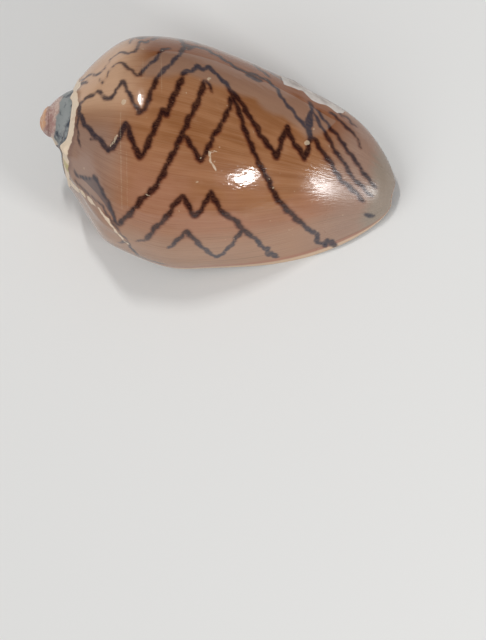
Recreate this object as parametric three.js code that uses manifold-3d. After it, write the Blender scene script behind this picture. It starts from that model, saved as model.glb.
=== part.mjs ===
// An empty noble volute shell, lying on its opening with its back up. Millimetres, +Z up.
//
// The shell is one spiral. A point of it has a growth, in turns (0 at the lip, -1 one turn earlier), and a
// place on the outline that its whorl has there. Outlines are given at quarter turns as [along, radius]
// pairs, along being measured on the coiling axis from the tip, and are joined by smooth curves.
import * as THREE from "three";
import Module from "manifold-3d";

// Driving dimensions
const LENGTH = 130; // tip to front end, on the coiling axis
const WALL = 3.0; // thickness of the wall away from the lip
const LIP = 2.0; // thickness of the wall at the lip
const GLAZE = 0.45; // extra layer on the inner side of the opening
const HOLLOW_TURNS = 1.3; // how far the hollow runs back from the lip
const ROLL = 15.8; // degrees that the shell leans over to lie on its lip and belly
const PITCH = 14.9; // degrees that its front end tips down
const SPOT = 0.5; // depth worn off where it rests

const STEPS = 60; // rows of faces in one turn
const HOLLOW_STEPS = 36; // the same, in the hollow
const ROW_PLACES = [4, 5, 6, 7, 8, 9, 10, 11, 12]; // on the body whorl, between these places of the outline,
const ROW_COUNTS = [3, 4, 4, 5, 5, 5, 3, 2]; // there are so many faces
const SPIRE_ROWS = 4; // faces from suture to next suture
const COLUMELLA_ROWS = 27; // faces across the hollow, on its inner side
const CEILING_ROWS = 9; // the same, under the wall

// Outlines for a shell 130 mm long. Points 0 and 4 are the whorl's own suture and, on the spire, the next
// whorl's; 5 and 6 are the shoulder, 10 and 11 the front end. All of them close on the axis at the front.
const OUTLINES = [
  { turn: -3, points: [[0.15, 1.2], [0.3, 2], [0.7, 3], [1.2, 3.8], [1.7, 4.3], [3, 4.6], [6, 4.6],
    [10, 4.3], [15, 3.5], [22, 2.6], [31, 1.9], [42, 1.4]] },
  { turn: -2.5, points: [[0.7, 2.9], [1, 3.6], [1.5, 4.3], [2, 4.75], [2.6, 5], [4.6, 6.4], [9, 7.2],
    [15, 7], [23, 5.6], [33, 4], [46, 2.8], [60, 2]] },
  { turn: -2, points: [[1.7, 4.3], [2.4, 5], [3.4, 5.6], [4.4, 5.9], [5.5, 6.2], [8.5, 9.2], [14.5, 11.4],
    [22.5, 10.9], [33, 8.5], [46, 5.8], [62, 4], [78, 2.8]] },
  { turn: -1.75, points: [[2.1, 4.8], [2.9, 5.9], [4.2, 7.2], [5.7, 8.1], [7.2, 8.8], [11, 12], [18.5, 14.2],
    [27.5, 13.4], [39, 10.4], [54, 7], [71, 4.8], [88, 3.2]] },
  { turn: -1.5, points: [[2.6, 5], [3.8, 7], [5.5, 9.1], [7.5, 10.9], [9.3, 12.1], [14, 15.6], [23, 17.6],
    [33, 16.4], [46, 12.6], [62, 8.4], [80, 5.6], [98, 3.8]] },
  { turn: -1.25, points: [[4.2, 5.4], [6, 7.4], [7.9, 9.9], [9.5, 12.6], [11.5, 15.8], [17, 19.5],
    [27.5, 21.2], [39, 19.5], [53, 15], [70, 10], [89, 6.8], [107, 4.6]] },
  { turn: -1, points: [[5.5, 6.2], [7.6, 8], [9.6, 10.6], [11.2, 14.4], [13.6, 19.3], [20, 23], [30, 23.6],
    [41, 19.8], [55, 14], [73, 9.2], [94, 6.4], [114, 5]] },
  { turn: -0.75, points: [[7.2, 8.8], [8.6, 11.6], [10.8, 15.2], [13.6, 19.4], [17.6, 24], [24.5, 27.8],
    [37, 29], [50, 26.4], [65, 21], [83, 15], [102, 10.3], [120, 7]] },
  { turn: -0.5, points: [[9.3, 12.1], [10.6, 15.6], [12.9, 20.1], [16.8, 25.9], [22.5, 32.1], [31, 36],
    [46, 37.6], [60, 36.1], [76, 33], [96, 27.8], [113.5, 20.6], [125.8, 8.6]] },
  { turn: -0.25, points: [[11.5, 15.8], [12.8, 17.9], [15, 20.8], [19.2, 25.3], [25.8, 31.5], [34.5, 35.2],
    [47, 35.6], [62, 32.6], [79, 26.5], [94, 18.9], [109, 12.6], [124, 7.6]] },
  { turn: 0, points: [[13.6, 19.3], [15.2, 21.7], [17.9, 24.9], [22.1, 29.3], [29.3, 36.8], [38, 40.6],
    [54.3, 43.6], [68, 41.5], [84.3, 37.5], [101.4, 31.3], [117.5, 21], [127.8, 9.5]] },
];
const FRONT = [129.8, 0];
const BULK = 5; // from this point on, cross-sections are oval
const LAST = 12; // the outline's last point, on the axis

// Ridges and folds on the outside and the columella
const CREST = { height: 0.8, lumps: 20, place: 0.9 }; // wavy welt under the suture
const LUMPS = [ // where the welt laps further over the earlier whorl, and stands higher
  { turn: -0.13, halfWidth: 0.06, lap: 1.2, height: 0 },
  { turn: -0.16, halfWidth: 0.018, lap: 1.6, height: 1.0 },
  { turn: -0.36, halfWidth: 0.016, lap: 1.0, height: 0.9 },
];
const SCAR = { turn: -0.083, height: 0.8, halfWidth: 0.014, from: 14, to: 42 }; // healed edge of an old lip
const FASCIOLE = { height: 1.2, halfWidth: 3.8, path: [[-0.32, 111], [-0.42, 99], [-0.53, 88], [-0.64, 79],
  [-0.76, 73], [-0.95, 66]] };
const FOLDS = { count: 4, first: 64, spacing: 10.5, height: 2.2, halfWidth: 3.0, slope: 46 };

// Siphonal notch: a rounded scoop out of the front end
const NOTCH = { at: [130, -1, -6], radii: [10, 7, 8.5] };

const SCALE = LENGTH / 130;
const clamp01 = (x) => Math.min(1, Math.max(0, x));
const smooth = (from, to, x) => {
  const t = clamp01((x - from) / (to - from));
  return t * t * (3 - 2 * t);
};
const bell = (x) => Math.exp(-x * x);
const lumpAt = (turn, key) =>
  LUMPS.reduce((sum, l) => sum + l[key] * bell((turn - l.turn) / l.halfWidth), 0);

// A natural cubic spline through (xs, ys), as a function.
function spline(xs, ys) {
  const n = xs.length;
  const bend = new Array(n).fill(0); // second derivatives
  const upper = new Array(n).fill(0);
  for (let i = 1; i < n - 1; i++) {
    const before = xs[i] - xs[i - 1];
    const after = xs[i + 1] - xs[i];
    const slopes = (ys[i + 1] - ys[i]) / after - (ys[i] - ys[i - 1]) / before;
    const pivot = 2 * (before + after) - before * upper[i - 1];
    upper[i] = after / pivot;
    bend[i] = (6 * slopes - before * bend[i - 1]) / pivot;
  }
  for (let i = n - 2; i > 0; i--) bend[i] -= upper[i] * bend[i + 1];
  return (x) => {
    let i = 0;
    while (i < n - 2 && x > xs[i + 1]) i++;
    const h = xs[i + 1] - xs[i];
    const u = (xs[i + 1] - x) / h;
    const v = 1 - u;
    return u * ys[i] + v * ys[i + 1] + ((u ** 3 - u) * bend[i] + (v ** 3 - v) * bend[i + 1]) * h * h / 6;
  };
}

const TURNS = OUTLINES.map((o) => o.turn);
const alongCurves = [];
const radiusCurves = [];
for (let k = 0; k < LAST; k++) {
  alongCurves.push(spline(TURNS, OUTLINES.map((o) => o.points[k][0])));
  const radii = OUTLINES.map((o) => o.points[k][1]);
  if (k < BULK) radiusCurves.push(spline(TURNS, radii));
  else {
    const curve = spline(TURNS, radii.map((r) => 1 / r ** 2)); // an oval is smooth in 1 / r squared
    radiusCurves.push((turn) => 1 / Math.sqrt(Math.max(curve(turn), 1e-4)));
  }
}
const fasciole = spline(FASCIOLE.path.map((p) => p[0]), FASCIOLE.path.map((p) => p[1]));

// How far a point stands out from the plain outline.
function relief(turn, place, along) {
  const crest = CREST.height * bell((place - CREST.place) / 0.5) * smooth(-1.4, -1, turn)
    * (0.7 + 0.3 * Math.cos(2 * Math.PI * CREST.lumps * turn));
  const lumps = lumpAt(turn, "height") * bell((place - 0.5) / 0.5);
  const scar = SCAR.height * bell((turn - SCAR.turn) / SCAR.halfWidth)
    * smooth(SCAR.from, SCAR.from + 2, along) * smooth(SCAR.to, SCAR.to - 8, along);
  const ridge = FASCIOLE.height * bell((along - fasciole(turn)) / FASCIOLE.halfWidth)
    * smooth(-0.3, -0.66, turn) * smooth(-1.0, -0.85, turn);
  let folds = 0;
  for (let i = 0; i < FOLDS.count; i++) {
    const middle = FOLDS.first + i * FOLDS.spacing + FOLDS.slope * (turn + 1);
    folds += FOLDS.height * (1 - 0.12 * i) * bell((along - middle) / FOLDS.halfWidth);
  }
  return crest + lumps + scar + ridge + folds * smooth(-0.88, -0.97, turn) * smooth(-1.9, -1.5, turn);
}

// The whorl's outline at a growth: place 0 to LAST gives [along, radius].
const outlines = new Map();
function outline(turn) {
  const key = turn.toFixed(6);
  if (!outlines.has(key)) {
    const t = Math.min(turn, 0);
    const places = Array.from({ length: LAST + 1 }, (_, k) => k);
    const a = spline(places, places.map((k) => (k < LAST ? alongCurves[k](t) : FRONT[0])));
    const r = spline(places, places.map((k) => (k < LAST ? radiusCurves[k](t) : FRONT[1])));
    const [ownLap, nextLap] = [lumpAt(t, "lap"), lumpAt(t + 1, "lap")];
    outlines.set(key, (place) => {
      const along = a(place) - ownLap * smooth(2.5, 0, place)
        - nextLap * smooth(2.6, 4, place) * smooth(5, 4, place);
      const fade = smooth(LAST, LAST - 1, place) * smooth(0, 0.25, place);
      return [along, r(place) + fade * relief(t, place, along)];
    });
  }
  return outlines.get(key);
}

// The same outline as a radius for each place along the axis.
const radii = new Map();
function radiusAt(turn, along) {
  const key = turn.toFixed(6);
  if (!radii.has(key)) {
    const curve = outline(turn);
    radii.set(key, Array.from({ length: 241 }, (_, i) => curve((LAST * i) / 240)));
  }
  const line = radii.get(key);
  let i = 1;
  while (i < line.length - 1 && line[i][0] < along) i++;
  const [a0, r0] = line[i - 1];
  const [a1, r1] = line[i];
  return r0 + (r1 - r0) * clamp01((along - a0) / Math.max(a1 - a0, 1e-6));
}

// The lip isn't straight: it stands back at the suture and forward below the shoulder.
function lipLead(along) {
  return 0.02 * smooth(18, 50, along) - 0.012 * smooth(24, 14, along) - 0.02 * smooth(95, 122, along);
}
const leadShare = (turn) => smooth(-0.3, 0, turn);

// A point of the shell, before it is laid down: the axis runs along X and the lip is at -Y.
function placed(turn, along, radius) {
  const angle = 2 * Math.PI * (turn + lipLead(along) * leadShare(turn));
  return [SCALE * along, -SCALE * radius * Math.cos(angle), -SCALE * radius * Math.sin(angle)];
}

class Surface {
  points = [];
  faces = [];
  add(point) {
    return this.points.push(point) - 1;
  }
  // Two triangles between rows of equal length.
  band(one, two) {
    for (let j = 0; j + 1 < one.length; j++) this.quad(one[j], two[j], two[j + 1], one[j + 1]);
  }
  quad(a, b, c, d) {
    this.tri(a, b, c);
    this.tri(a, c, d);
  }
  tri(a, b, c) {
    if (a !== b && b !== c && c !== a) this.faces.push([a, b, c]);
  }
}

// Places of the rows of points on the body whorl, but for the last, on the axis.
const BODY_PLACES = Array.from({ length: SPIRE_ROWS }, (_, j) => (4 * j) / SPIRE_ROWS);
ROW_COUNTS.forEach((count, k) => {
  for (let j = 0; j < count; j++) {
    BODY_PLACES.push(ROW_PLACES[k] + ((ROW_PLACES[k + 1] - ROW_PLACES[k]) * j) / count);
  }
});

// The outside, closed by a flat face at the lip: spire in strips from suture to suture, then the body whorl.
function outside() {
  const s = new Surface();
  const first = -3 * STEPS;
  const sutures = new Map();
  for (let i = first; i <= 0; i++) {
    const [a, r] = outline(i / STEPS)(0);
    sutures.set(i, s.add(placed(i / STEPS, a, r)));
  }
  const spire = [];
  for (let i = first; i <= -STEPS; i++) {
    const row = [sutures.get(i)];
    for (let j = 1; j < SPIRE_ROWS; j++) {
      const [a, r] = outline(i / STEPS)((4 * j) / SPIRE_ROWS);
      row.push(s.add(placed(i / STEPS, a, r)));
    }
    row.push(sutures.get(i + STEPS));
    spire.push(row);
  }
  for (let i = 0; i + 1 < spire.length; i++) s.band(spire[i], spire[i + 1]);

  const tip = s.add([0, 0, 0]);
  for (let i = first; i < first + STEPS; i++) s.tri(tip, sutures.get(i + 1), sutures.get(i));
  for (let j = 0; j < SPIRE_ROWS; j++) s.tri(tip, spire[0][j], spire[0][j + 1]);

  const front = s.add(placed(0, ...FRONT));
  const body = [];
  for (let i = -STEPS; i <= 0; i++) {
    const row = i === -STEPS ? [...spire[spire.length - 1]] : [sutures.get(i)];
    for (const place of BODY_PLACES.slice(row.length)) {
      const [a, r] = outline(i / STEPS)(place);
      row.push(s.add(placed(i / STEPS, a, r)));
    }
    row.push(front);
    body.push(row);
  }
  for (let i = 0; i + 1 < body.length; i++) s.band(body[i], body[i + 1]);

  // The face at the lip, from the lip's outline to the whorl that it grows over.
  const lip = body[body.length - 1];
  const inner = body[0].slice(SPIRE_ROWS);
  const extra = lip.length - inner.length;
  for (let j = 0; j < extra; j++) s.tri(lip[j], inner[0], lip[j + 1]);
  for (let j = 0; j + 1 < inner.length; j++) {
    s.quad(lip[j + extra], inner[j], inner[j + 1], lip[j + extra + 1]);
  }
  return s;
}

// Thickness of the wall at a growth, thinner at the lip and thicker where the canal closes.
function wallAt(turn) {
  return LIP + (WALL - LIP) * smooth(0, -0.08, turn);
}

// Where the hollow ends towards the front.
const hollowEnd = spline([-1.5, -1.25, -1, -0.8, -0.7, -0.6, -0.5, -0.3, 0.1],
  [50, 62, 78, 96, 107, 116, 122, 125.5, 127]);

// The hollow as a closed tube: between the wall and the whorl one turn earlier.
function hollow() {
  const s = new Surface();
  const rings = [];
  const last = -Math.round(HOLLOW_TURNS * HOLLOW_STEPS);
  for (let i = 2; i >= last; i--) {
    const turn = i / HOLLOW_STEPS;
    const grown = Math.min(turn, 0);
    const inner = (a) => radiusAt(turn + lipLead(a) * leadShare(turn) - 1, a) + GLAZE;
    const outer = (a) => {
      const slope = (radiusAt(grown, a + 0.4) - radiusAt(grown, a - 0.4)) / 0.8;
      return radiusAt(grown, a) - wallAt(grown) * Math.sqrt(1 + Math.min(slope * slope, 9));
    };
    const end = hollowEnd(turn);
    let start = outline(grown)(0)[0];
    while (outer(start) - inner(start) < 0.6 && start < end - 5) start += 0.1;
    const side = (count, share) => Array.from({ length: count + 1 }, (_, j) => {
      const rounded = (1 - Math.cos((Math.PI * j) / count)) / 2;
      const a = start + (end - start) * (0.5 * rounded + 0.5 * (j / count));
      const near = clamp01((end - a) / 7);
      const gap = Math.max((outer(a) - inner(a)) * Math.sqrt(near * (2 - near)), 0.3);
      return s.add(placed(turn, a, inner(a) + share * gap));
    });
    rings.push([side(COLUMELLA_ROWS, 0), side(CEILING_ROWS, 1)]);
  }
  const loop = ([low, high]) => [...low, ...[...high].reverse(), low[0]];
  for (let i = 0; i + 1 < rings.length; i++) s.band(loop(rings[i]), loop(rings[i + 1]));
  for (const [end, turned] of [[rings[0], false], [rings[rings.length - 1], true]]) {
    const [low, high] = end;
    const close = (a, b, c) => (turned ? s.tri(c, b, a) : s.tri(a, b, c));
    let h = 0;
    for (let j = 0; j < COLUMELLA_ROWS; j++) {
      close(low[j], low[j + 1], high[h]);
      while (h < CEILING_ROWS && (h + 1) * COLUMELLA_ROWS <= (j + 1) * CEILING_ROWS) {
        close(low[j + 1], high[h + 1], high[h]);
        h++;
      }
    }
  }
  return s;
}

const wasm = await Module();
wasm.setup();

function solid(surface) {
  const mesh = new wasm.Mesh({
    numProp: 3,
    vertProperties: new Float32Array(surface.points.flat()),
    triVerts: new Uint32Array(surface.faces.flat()),
  });
  const made = new wasm.Manifold(mesh);
  if (made.volume() > 0) return made;
  for (const face of surface.faces) face.reverse();
  return solid(surface);
}

function solidOfGeometry(geometry) {
  const s = new Surface();
  const seen = new Map();
  const position = geometry.getAttribute("position");
  const ids = [];
  for (let i = 0; i < position.count; i++) {
    const p = [position.getX(i), position.getY(i), position.getZ(i)];
    const key = p.map((x) => x.toFixed(4)).join(" ");
    if (!seen.has(key)) seen.set(key, s.add(p));
    ids.push(seen.get(key));
  }
  const index = geometry.index.array;
  for (let i = 0; i < index.length; i += 3) s.tri(ids[index[i]], ids[index[i + 1]], ids[index[i + 2]]);
  return solid(s);
}

const notch = new THREE.SphereGeometry(1, 28, 18)
  .scale(...NOTCH.radii.map((x) => x * SCALE))
  .translate(...NOTCH.at.map((x) => x * SCALE));
const whole = solid(outside()).subtract(solid(hollow())).subtract(solidOfGeometry(notch));
const laid = whole.rotate([ROLL, 0, 0]).rotate([0, PITCH, 0]);
const box = laid.boundingBox();
const middle = box.min.map((low, i) => (low + box.max[i]) / 2);
const above = new THREE.BoxGeometry(3 * LENGTH, 3 * LENGTH, 2 * LENGTH).translate(0, 0, LENGTH);
const rested = laid
  .translate([-middle[0], -middle[1], -box.min[2] - SPOT])
  .intersect(solidOfGeometry(above));

function geometryOf(made) {
  const { vertProperties, triVerts } = made.getMesh();
  return new THREE.BufferGeometry()
    .setAttribute("position", new THREE.BufferAttribute(new Float32Array(vertProperties), 3))
    .setIndex(new THREE.BufferAttribute(triVerts, 1))
    .toNonIndexed();
}

const shell = new THREE.Mesh(
  geometryOf(rested),
  new THREE.MeshStandardMaterial({ color: 0xa87652, roughness: 0.22, metalness: 0 }),
);
shell.name = "shell";
shell.geometry.computeVertexNormals();

const root = new THREE.Group();
root.name = "noble_volute";
root.add(shell);

export default root;
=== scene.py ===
"""An empty noble volute shell, lying on its opening, with its markings and glaze.

A point of the shell has a growth, in turns (0 at the lip, -1 one turn earlier), and a place on the outline
that its whorl has there (0 at the suture, 12 on the coiling axis at the front). They give a distance along
the axis and a radius, in millimetres, and from these its position: the axis along X, the lip at -Y.
"""

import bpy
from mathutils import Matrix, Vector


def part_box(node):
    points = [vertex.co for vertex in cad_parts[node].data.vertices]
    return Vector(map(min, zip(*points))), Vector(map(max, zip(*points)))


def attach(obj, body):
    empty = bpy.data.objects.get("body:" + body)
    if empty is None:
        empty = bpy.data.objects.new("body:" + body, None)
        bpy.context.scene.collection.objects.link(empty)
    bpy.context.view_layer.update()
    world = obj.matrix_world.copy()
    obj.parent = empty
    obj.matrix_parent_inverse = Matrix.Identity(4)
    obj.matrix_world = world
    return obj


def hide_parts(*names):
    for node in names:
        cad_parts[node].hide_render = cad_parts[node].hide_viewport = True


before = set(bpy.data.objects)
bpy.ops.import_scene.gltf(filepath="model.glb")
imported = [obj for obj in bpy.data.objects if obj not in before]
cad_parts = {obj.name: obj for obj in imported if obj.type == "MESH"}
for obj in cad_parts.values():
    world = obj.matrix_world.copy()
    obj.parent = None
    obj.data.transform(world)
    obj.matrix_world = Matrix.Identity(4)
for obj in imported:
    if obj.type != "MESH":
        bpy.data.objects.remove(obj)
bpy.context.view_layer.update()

import math

import bpy
import numpy as np
from mathutils import Matrix, Vector

bl_info = {
    "name": "Noble volute shell",
    "version": (1, 0, 0),
    "blender": (4, 5, 0),
    "location": "View3D > Sidebar > Shell",
    "description": "Builds a noble volute shell with its markings, and a plain studio round it",
    "category": "Add Mesh",
}

# Outlines for a shell 130 mm long, as in the CAD model: [along, radius] at places 0 to 11
OUTLINES = {
    -3: [(0.15, 1.2), (0.3, 2), (0.7, 3), (1.2, 3.8), (1.7, 4.3), (3, 4.6), (6, 4.6), (10, 4.3), (15, 3.5),
         (22, 2.6), (31, 1.9), (42, 1.4)],
    -2.5: [(0.7, 2.9), (1, 3.6), (1.5, 4.3), (2, 4.75), (2.6, 5), (4.6, 6.4), (9, 7.2), (15, 7), (23, 5.6),
           (33, 4), (46, 2.8), (60, 2)],
    -2: [(1.7, 4.3), (2.4, 5), (3.4, 5.6), (4.4, 5.9), (5.5, 6.2), (8.5, 9.2), (14.5, 11.4), (22.5, 10.9),
         (33, 8.5), (46, 5.8), (62, 4), (78, 2.8)],
    -1.75: [(2.1, 4.8), (2.9, 5.9), (4.2, 7.2), (5.7, 8.1), (7.2, 8.8), (11, 12), (18.5, 14.2), (27.5, 13.4),
            (39, 10.4), (54, 7), (71, 4.8), (88, 3.2)],
    -1.5: [(2.6, 5), (3.8, 7), (5.5, 9.1), (7.5, 10.9), (9.3, 12.1), (14, 15.6), (23, 17.6), (33, 16.4),
           (46, 12.6), (62, 8.4), (80, 5.6), (98, 3.8)],
    -1.25: [(4.2, 5.4), (6, 7.4), (7.9, 9.9), (9.5, 12.6), (11.5, 15.8), (17, 19.5), (27.5, 21.2), (39, 19.5),
            (53, 15), (70, 10), (89, 6.8), (107, 4.6)],
    -1: [(5.5, 6.2), (7.6, 8), (9.6, 10.6), (11.2, 14.4), (13.6, 19.3), (20, 23), (30, 23.6), (41, 19.8),
         (55, 14), (73, 9.2), (94, 6.4), (114, 5)],
    -0.75: [(7.2, 8.8), (8.6, 11.6), (10.8, 15.2), (13.6, 19.4), (17.6, 24), (24.5, 27.8), (37, 29),
            (50, 26.4), (65, 21), (83, 15), (102, 10.3), (120, 7)],
    -0.5: [(9.3, 12.1), (10.6, 15.6), (12.9, 20.1), (16.8, 25.9), (22.5, 32.1), (31, 36), (46, 37.6),
           (60, 36.1), (76, 33), (96, 27.8), (113.5, 20.6), (125.8, 8.6)],
    -0.25: [(11.5, 15.8), (12.8, 17.9), (15, 20.8), (19.2, 25.3), (25.8, 31.5), (34.5, 35.2), (47, 35.6),
            (62, 32.6), (79, 26.5), (94, 18.9), (109, 12.6), (124, 7.6)],
    0: [(13.6, 19.3), (15.2, 21.7), (17.9, 24.9), (22.1, 29.3), (29.3, 36.8), (38, 40.6), (54.3, 43.6),
        (68, 41.5), (84.3, 37.5), (101.4, 31.3), (117.5, 21), (127.8, 9.5)],
}
FRONT = (129.8, 0.0)  # along and radius of the front end
BULK, LAST = 5, 12  # places where the swollen part starts, and of the front end
WALL, LIP, GLAZE = 3.0, 2.0, 0.45  # mm, thickness of the wall, of its edge, and of the glaze on a whorl
ROLL, PITCH = 15.8, 14.9  # degrees about X and Y that lay the shell on its opening
NOTCH_AT, NOTCH_RADII = (130, -1, -6), (10, 7, 8.5)  # mm, the ellipsoid cut out at the front end
SCAR_TURN = -0.083  # growth where the lip has healed
LIP_EDGE = 0.0042  # turns over which the lip is rounded, about 1 mm
MM_PER_TURN = 220  # of the surface where the last whorl is widest
FAR_OFF = 9  # mm, where distances to a mark are cut off
SPACING = 0.3  # mm, between points on a drawn line
FIT = 0.9998  # of the size that would fill the solid's box
ROWS_PER_TURN, HOLLOW_ROWS, HOLLOW_COLUMNS = 360, 120, 71
SMOOTH_ANGLE = 42  # degrees, up to which faces are shaded as one curve
FEWEST_POINTS = 1000  # of a shell that was cut as it should be
# Turn, width, lap and height of each
LUMPS = [(-0.13, 0.06, 1.2, 0), (-0.16, 0.018, 1.6, 1.0), (-0.36, 0.016, 1.0, 0.9)]
# Growth and distance along the axis: of the ridge round the front end, and of the hollow's front end
FASCIOLE = [(-0.32, 111), (-0.42, 99), (-0.53, 88), (-0.64, 79), (-0.76, 73), (-0.95, 66)]
HOLLOW_END = [(-1.5, 50), (-1.25, 62), (-1, 78), (-0.8, 96), (-0.7, 107), (-0.6, 116), (-0.5, 122),
              (-0.3, 125.5), (0.1, 127)]

# The camera looks down on AIM, a point in the axis's plane, from CAMERA_HEIGHT above it
AIM, CAMERA_HEIGHT = (85.4, -56.3), 1600
CAMERA_TILT = 11.5  # degrees that the axis slopes down in the picture
LENS_PER_METRE = 157.5  # mm of focal length for each metre of distance, which keeps the shell's size
FLOOR_REACH = 4.0  # metres from the middle to each side

# Lines and marks as drawn on a view of the shell, in millimetres: a width, and then two numbers for each
# point: along the axis and across it, as the camera sees it above that plane, or along the axis and up from
# it, seen from the far side and FAR_VIEW degrees below. A shape has no width.
FAR_VIEW = 43
DARK_ABOVE = [
    (1.7, 46.5, 25, 48, 27, 50, 27.5, 51.5, 29.5, 53.5, 28.5, 55.5, 30, 57.5, 28.5, 60, 27, 63, 25, 65.5,
     22.5, 68, 21, 71, 18, 73, 15.5, 76, 13, 78, 10, 80.5, 8, 83.5, 5.5, 85.5, 3.2, 86, 6, 86.2, 10, 87.2,
     14.8, 88.5, 12, 91, 9, 93, 7.5, 95.5, 4.6, 96, 8.5, 96, 12, 95, 15.5, 94.5, 19, 94.5, 22, 93.5, 25),
    (1.8, 12.5, 7.5, 13.5, 4.5, 15.5, 1.5, 18, -0.5, 21, -2.5, 23.5, -4, 26, -6.8, 27.5, -4.5, 29, -1.5,
     30.3, 4.5, 32, 2, 33.5, -1, 35.5, -3.5, 37.5, -6.5, 39, -4.5, 39.5, -1, 40.5, 3, 41.5, 8, 42.5, 11.5,
     44, 10.5, 45, 16.5, 46, 20, 47, 25),
    (1.0, 19, -4, 20.5, -3, 22.5, -3.5),
    (0.8, 12.6, 6, 13.2, 2, 13.6, -0.5, 14.8, -4, 16, -7.5),
    (1.7, 55, 25, 54.5, 21, 54, 17.5, 53.5, 14.5, 52, 10.5, 51.5, 7, 50.5, 3.5, 49.5, -1.5, 48, -6, 47,
     -10.5, 46, -13.5, 45, -16.5, 43, -19, 41, -21.5, 40, -24, 38.5, -26.5, 36, -30, 35, -32),
    (1.0, 55, 25, 57, 23.5, 58.5, 21.5),
    (1.5, 52, 4, 54, 2, 56.5, -0.5, 59.3, -3.6, 61, 1.5, 62, 6.5, 63.5, 9.5, 64.5, 13.5, 65.5, 16.5, 65.5,
     21.5),
    (1.6, 65.2, 22.5, 66.9, 20, 69.8, 15.6, 72.2, 11, 75.1, 6.6, 78.7, 1.4, 81.4, -2.1, 84, -5.1, 86.1, -8.1,
     88.1, -10.7, 91.1, -13.1, 93.5, -14.8, 95.7, -16.2, 98.1, -17.7, 100.3, -18.9, 102.5, -20.2, 104.4,
     -21.8, 106.7, -23.2, 109.8, -23.9, 112.8, -23.8),
    (1.4, 34, 8.5, 36.3, 11.5, 36.8, 17, 37.5, 20, 38.5, 23.5, 40.5, 26.5, 42, 28.5, 43.5, 31, 45, 34, 46.5,
     36.5),
    (1.2, 12.5, 7.5, 13.5, 9, 15, 10.5, 17, 12, 18, 13.5, 20, 13, 21, 11.5, 23, 11.5, 24, 13.5, 25, 16, 26,
     18.8, 27, 18, 28.5, 16, 30.5, 13.5, 32.5, 11, 34.5, 9),
    (1.3, 46, 34.5, 49, 36, 52, 36.2, 54.5, 35.5, 57.5, 34.5, 60.5, 33.5, 64, 32, 67, 31, 70, 30.6, 73.5,
     30.2, 76.5, 29.5, 78.5, 28.5, 81, 27, 82.5, 25, 84.5, 23, 88, 20.5, 90.5, 18, 93.5, 16, 95.5, 14.5),
    (1.9, 69, 30, 72, 29.2, 75, 28.8),
    (2.7, 94, 20, 94.6, 17, 95.2, 13),
    (1.6, 46, -35, 46.8, -33, 47.5, -31, 49, -29, 50.5, -27, 52, -24, 53, -21, 54.5, -18.4, 55.5, -17.2,
     56.5, -17.8, 58, -19.8, 59.5, -22, 61.2, -23.4, 62.5, -21.5, 63.8, -18, 65, -13.6, 66.5, -15.5, 68.5,
     -18, 70.5, -20, 72.5, -21, 75, -21.5, 77, -23, 79.5, -25, 82.8, -26.4, 85.7, -28.2, 88.1, -30.1, 90.9,
     -31.6, 93.5, -32.2),
    (1.0, 42.5, -36.5, 44, -35.5, 46.5, -35),
    (1.6, 54, -36.5, 55, -35.5, 56.5, -33.5, 58, -31, 59.3, -29.2, 62, -31, 65.2, -33.3, 68.5, -35, 71.7,
     -36.3, 73.3, -34.7, 75, -32.5, 76.8, -29.2, 78.5, -25, 79.2, -24.4),
    (1.4, 95.5, 13.5, 98, 12, 99.5, 10, 101.5, 8, 103.5, 6.5, 106, 4, 107.5, 2, 110, -0.5, 112, -1.5, 114,
     -2.5, 117.5, -4.8, 119.3, -6.3),
    (1.2, 95.5, 21.5, 97, 19.5, 98.5, 17.5, 100.5, 15.5, 102, 14, 104, 11.5, 106, 9, 108, 7.5, 109.5, 6, 111,
     4.5, 113.5, 1.5, 115.5, 0.3, 118, -1.3, 120.5, -3.2, 122, -4),
    (1.2, 96, 22.8, 98.5, 20.5, 100.5, 19, 102.5, 17, 105, 15.5, 106.5, 14, 108.5, 12, 110, 10.5, 112.5, 8.5,
     114.5, 6.6, 116.5, 4.4, 119.5, 2, 122.5, -0.5),
    (1.0, 101, 22.5, 103, 22, 105, 20.5, 106.5, 19.5, 108.5, 18.5, 110.5, 17, 112, 16),
    (0.7, 103, 24, 105.5, 22.5, 107.5, 22, 109.5, 20.5, 111.5, 19.5),
    (0.7, 113, 15, 114.5, 12.5),
    (0.9, 11.5, 16, 13.5, 18, 15, 19, 17.5, 19.5, 18.5, 21, 19.5, 23.5, 21, 26.8, 24, 29, 26.5, 29, 28.5, 30,
     29.5, 34, 31.5, 34, 32.5, 35),
    (0.8, 18, 18, 19.5, 16.6, 20.5, 20.5, 22, 24, 23.5, 25, 25.5, 25, 27, 24, 29, 23, 30.5, 22),
    (1.2, 30.5, 22, 32, 22.3, 33, 25, 34.5, 26.5, 36, 28.5, 37, 30.5, 38, 33, 40.5, 33.5),
    (0.7, 26, 32.5, 26.5, 34, 27.5, 35.5),
    (1.4, 11.6, 14.6, 13, 15.6, 14.2, 16),
    (1.2, 15.5, -16, 17, -17.5, 19.5, -18, 21.5, -17.5, 23.5, -16.5, 25, -18.5, 27, -21.5, 29.5, -24, 31.5,
     -27, 33, -29.5, 34.5, -32),
    (0.6, 16.5, -19.2, 19.5, -21.5, 23, -23.5, 25.5, -24.8, 28, -26.4, 30.5, -29.2, 34, -32.6, 37, -35.2,
     39.5, -37),
    (1.2, 36, -38, 38, -37.5, 39.5, -37.5, 41.5, -39.3, 43.5, -41, 46, -42.3, 50, -43.4, 54, -43.8),
    (1.5, 120.5, -10.2, 122, -11, 124, -10.6),
]
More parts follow.
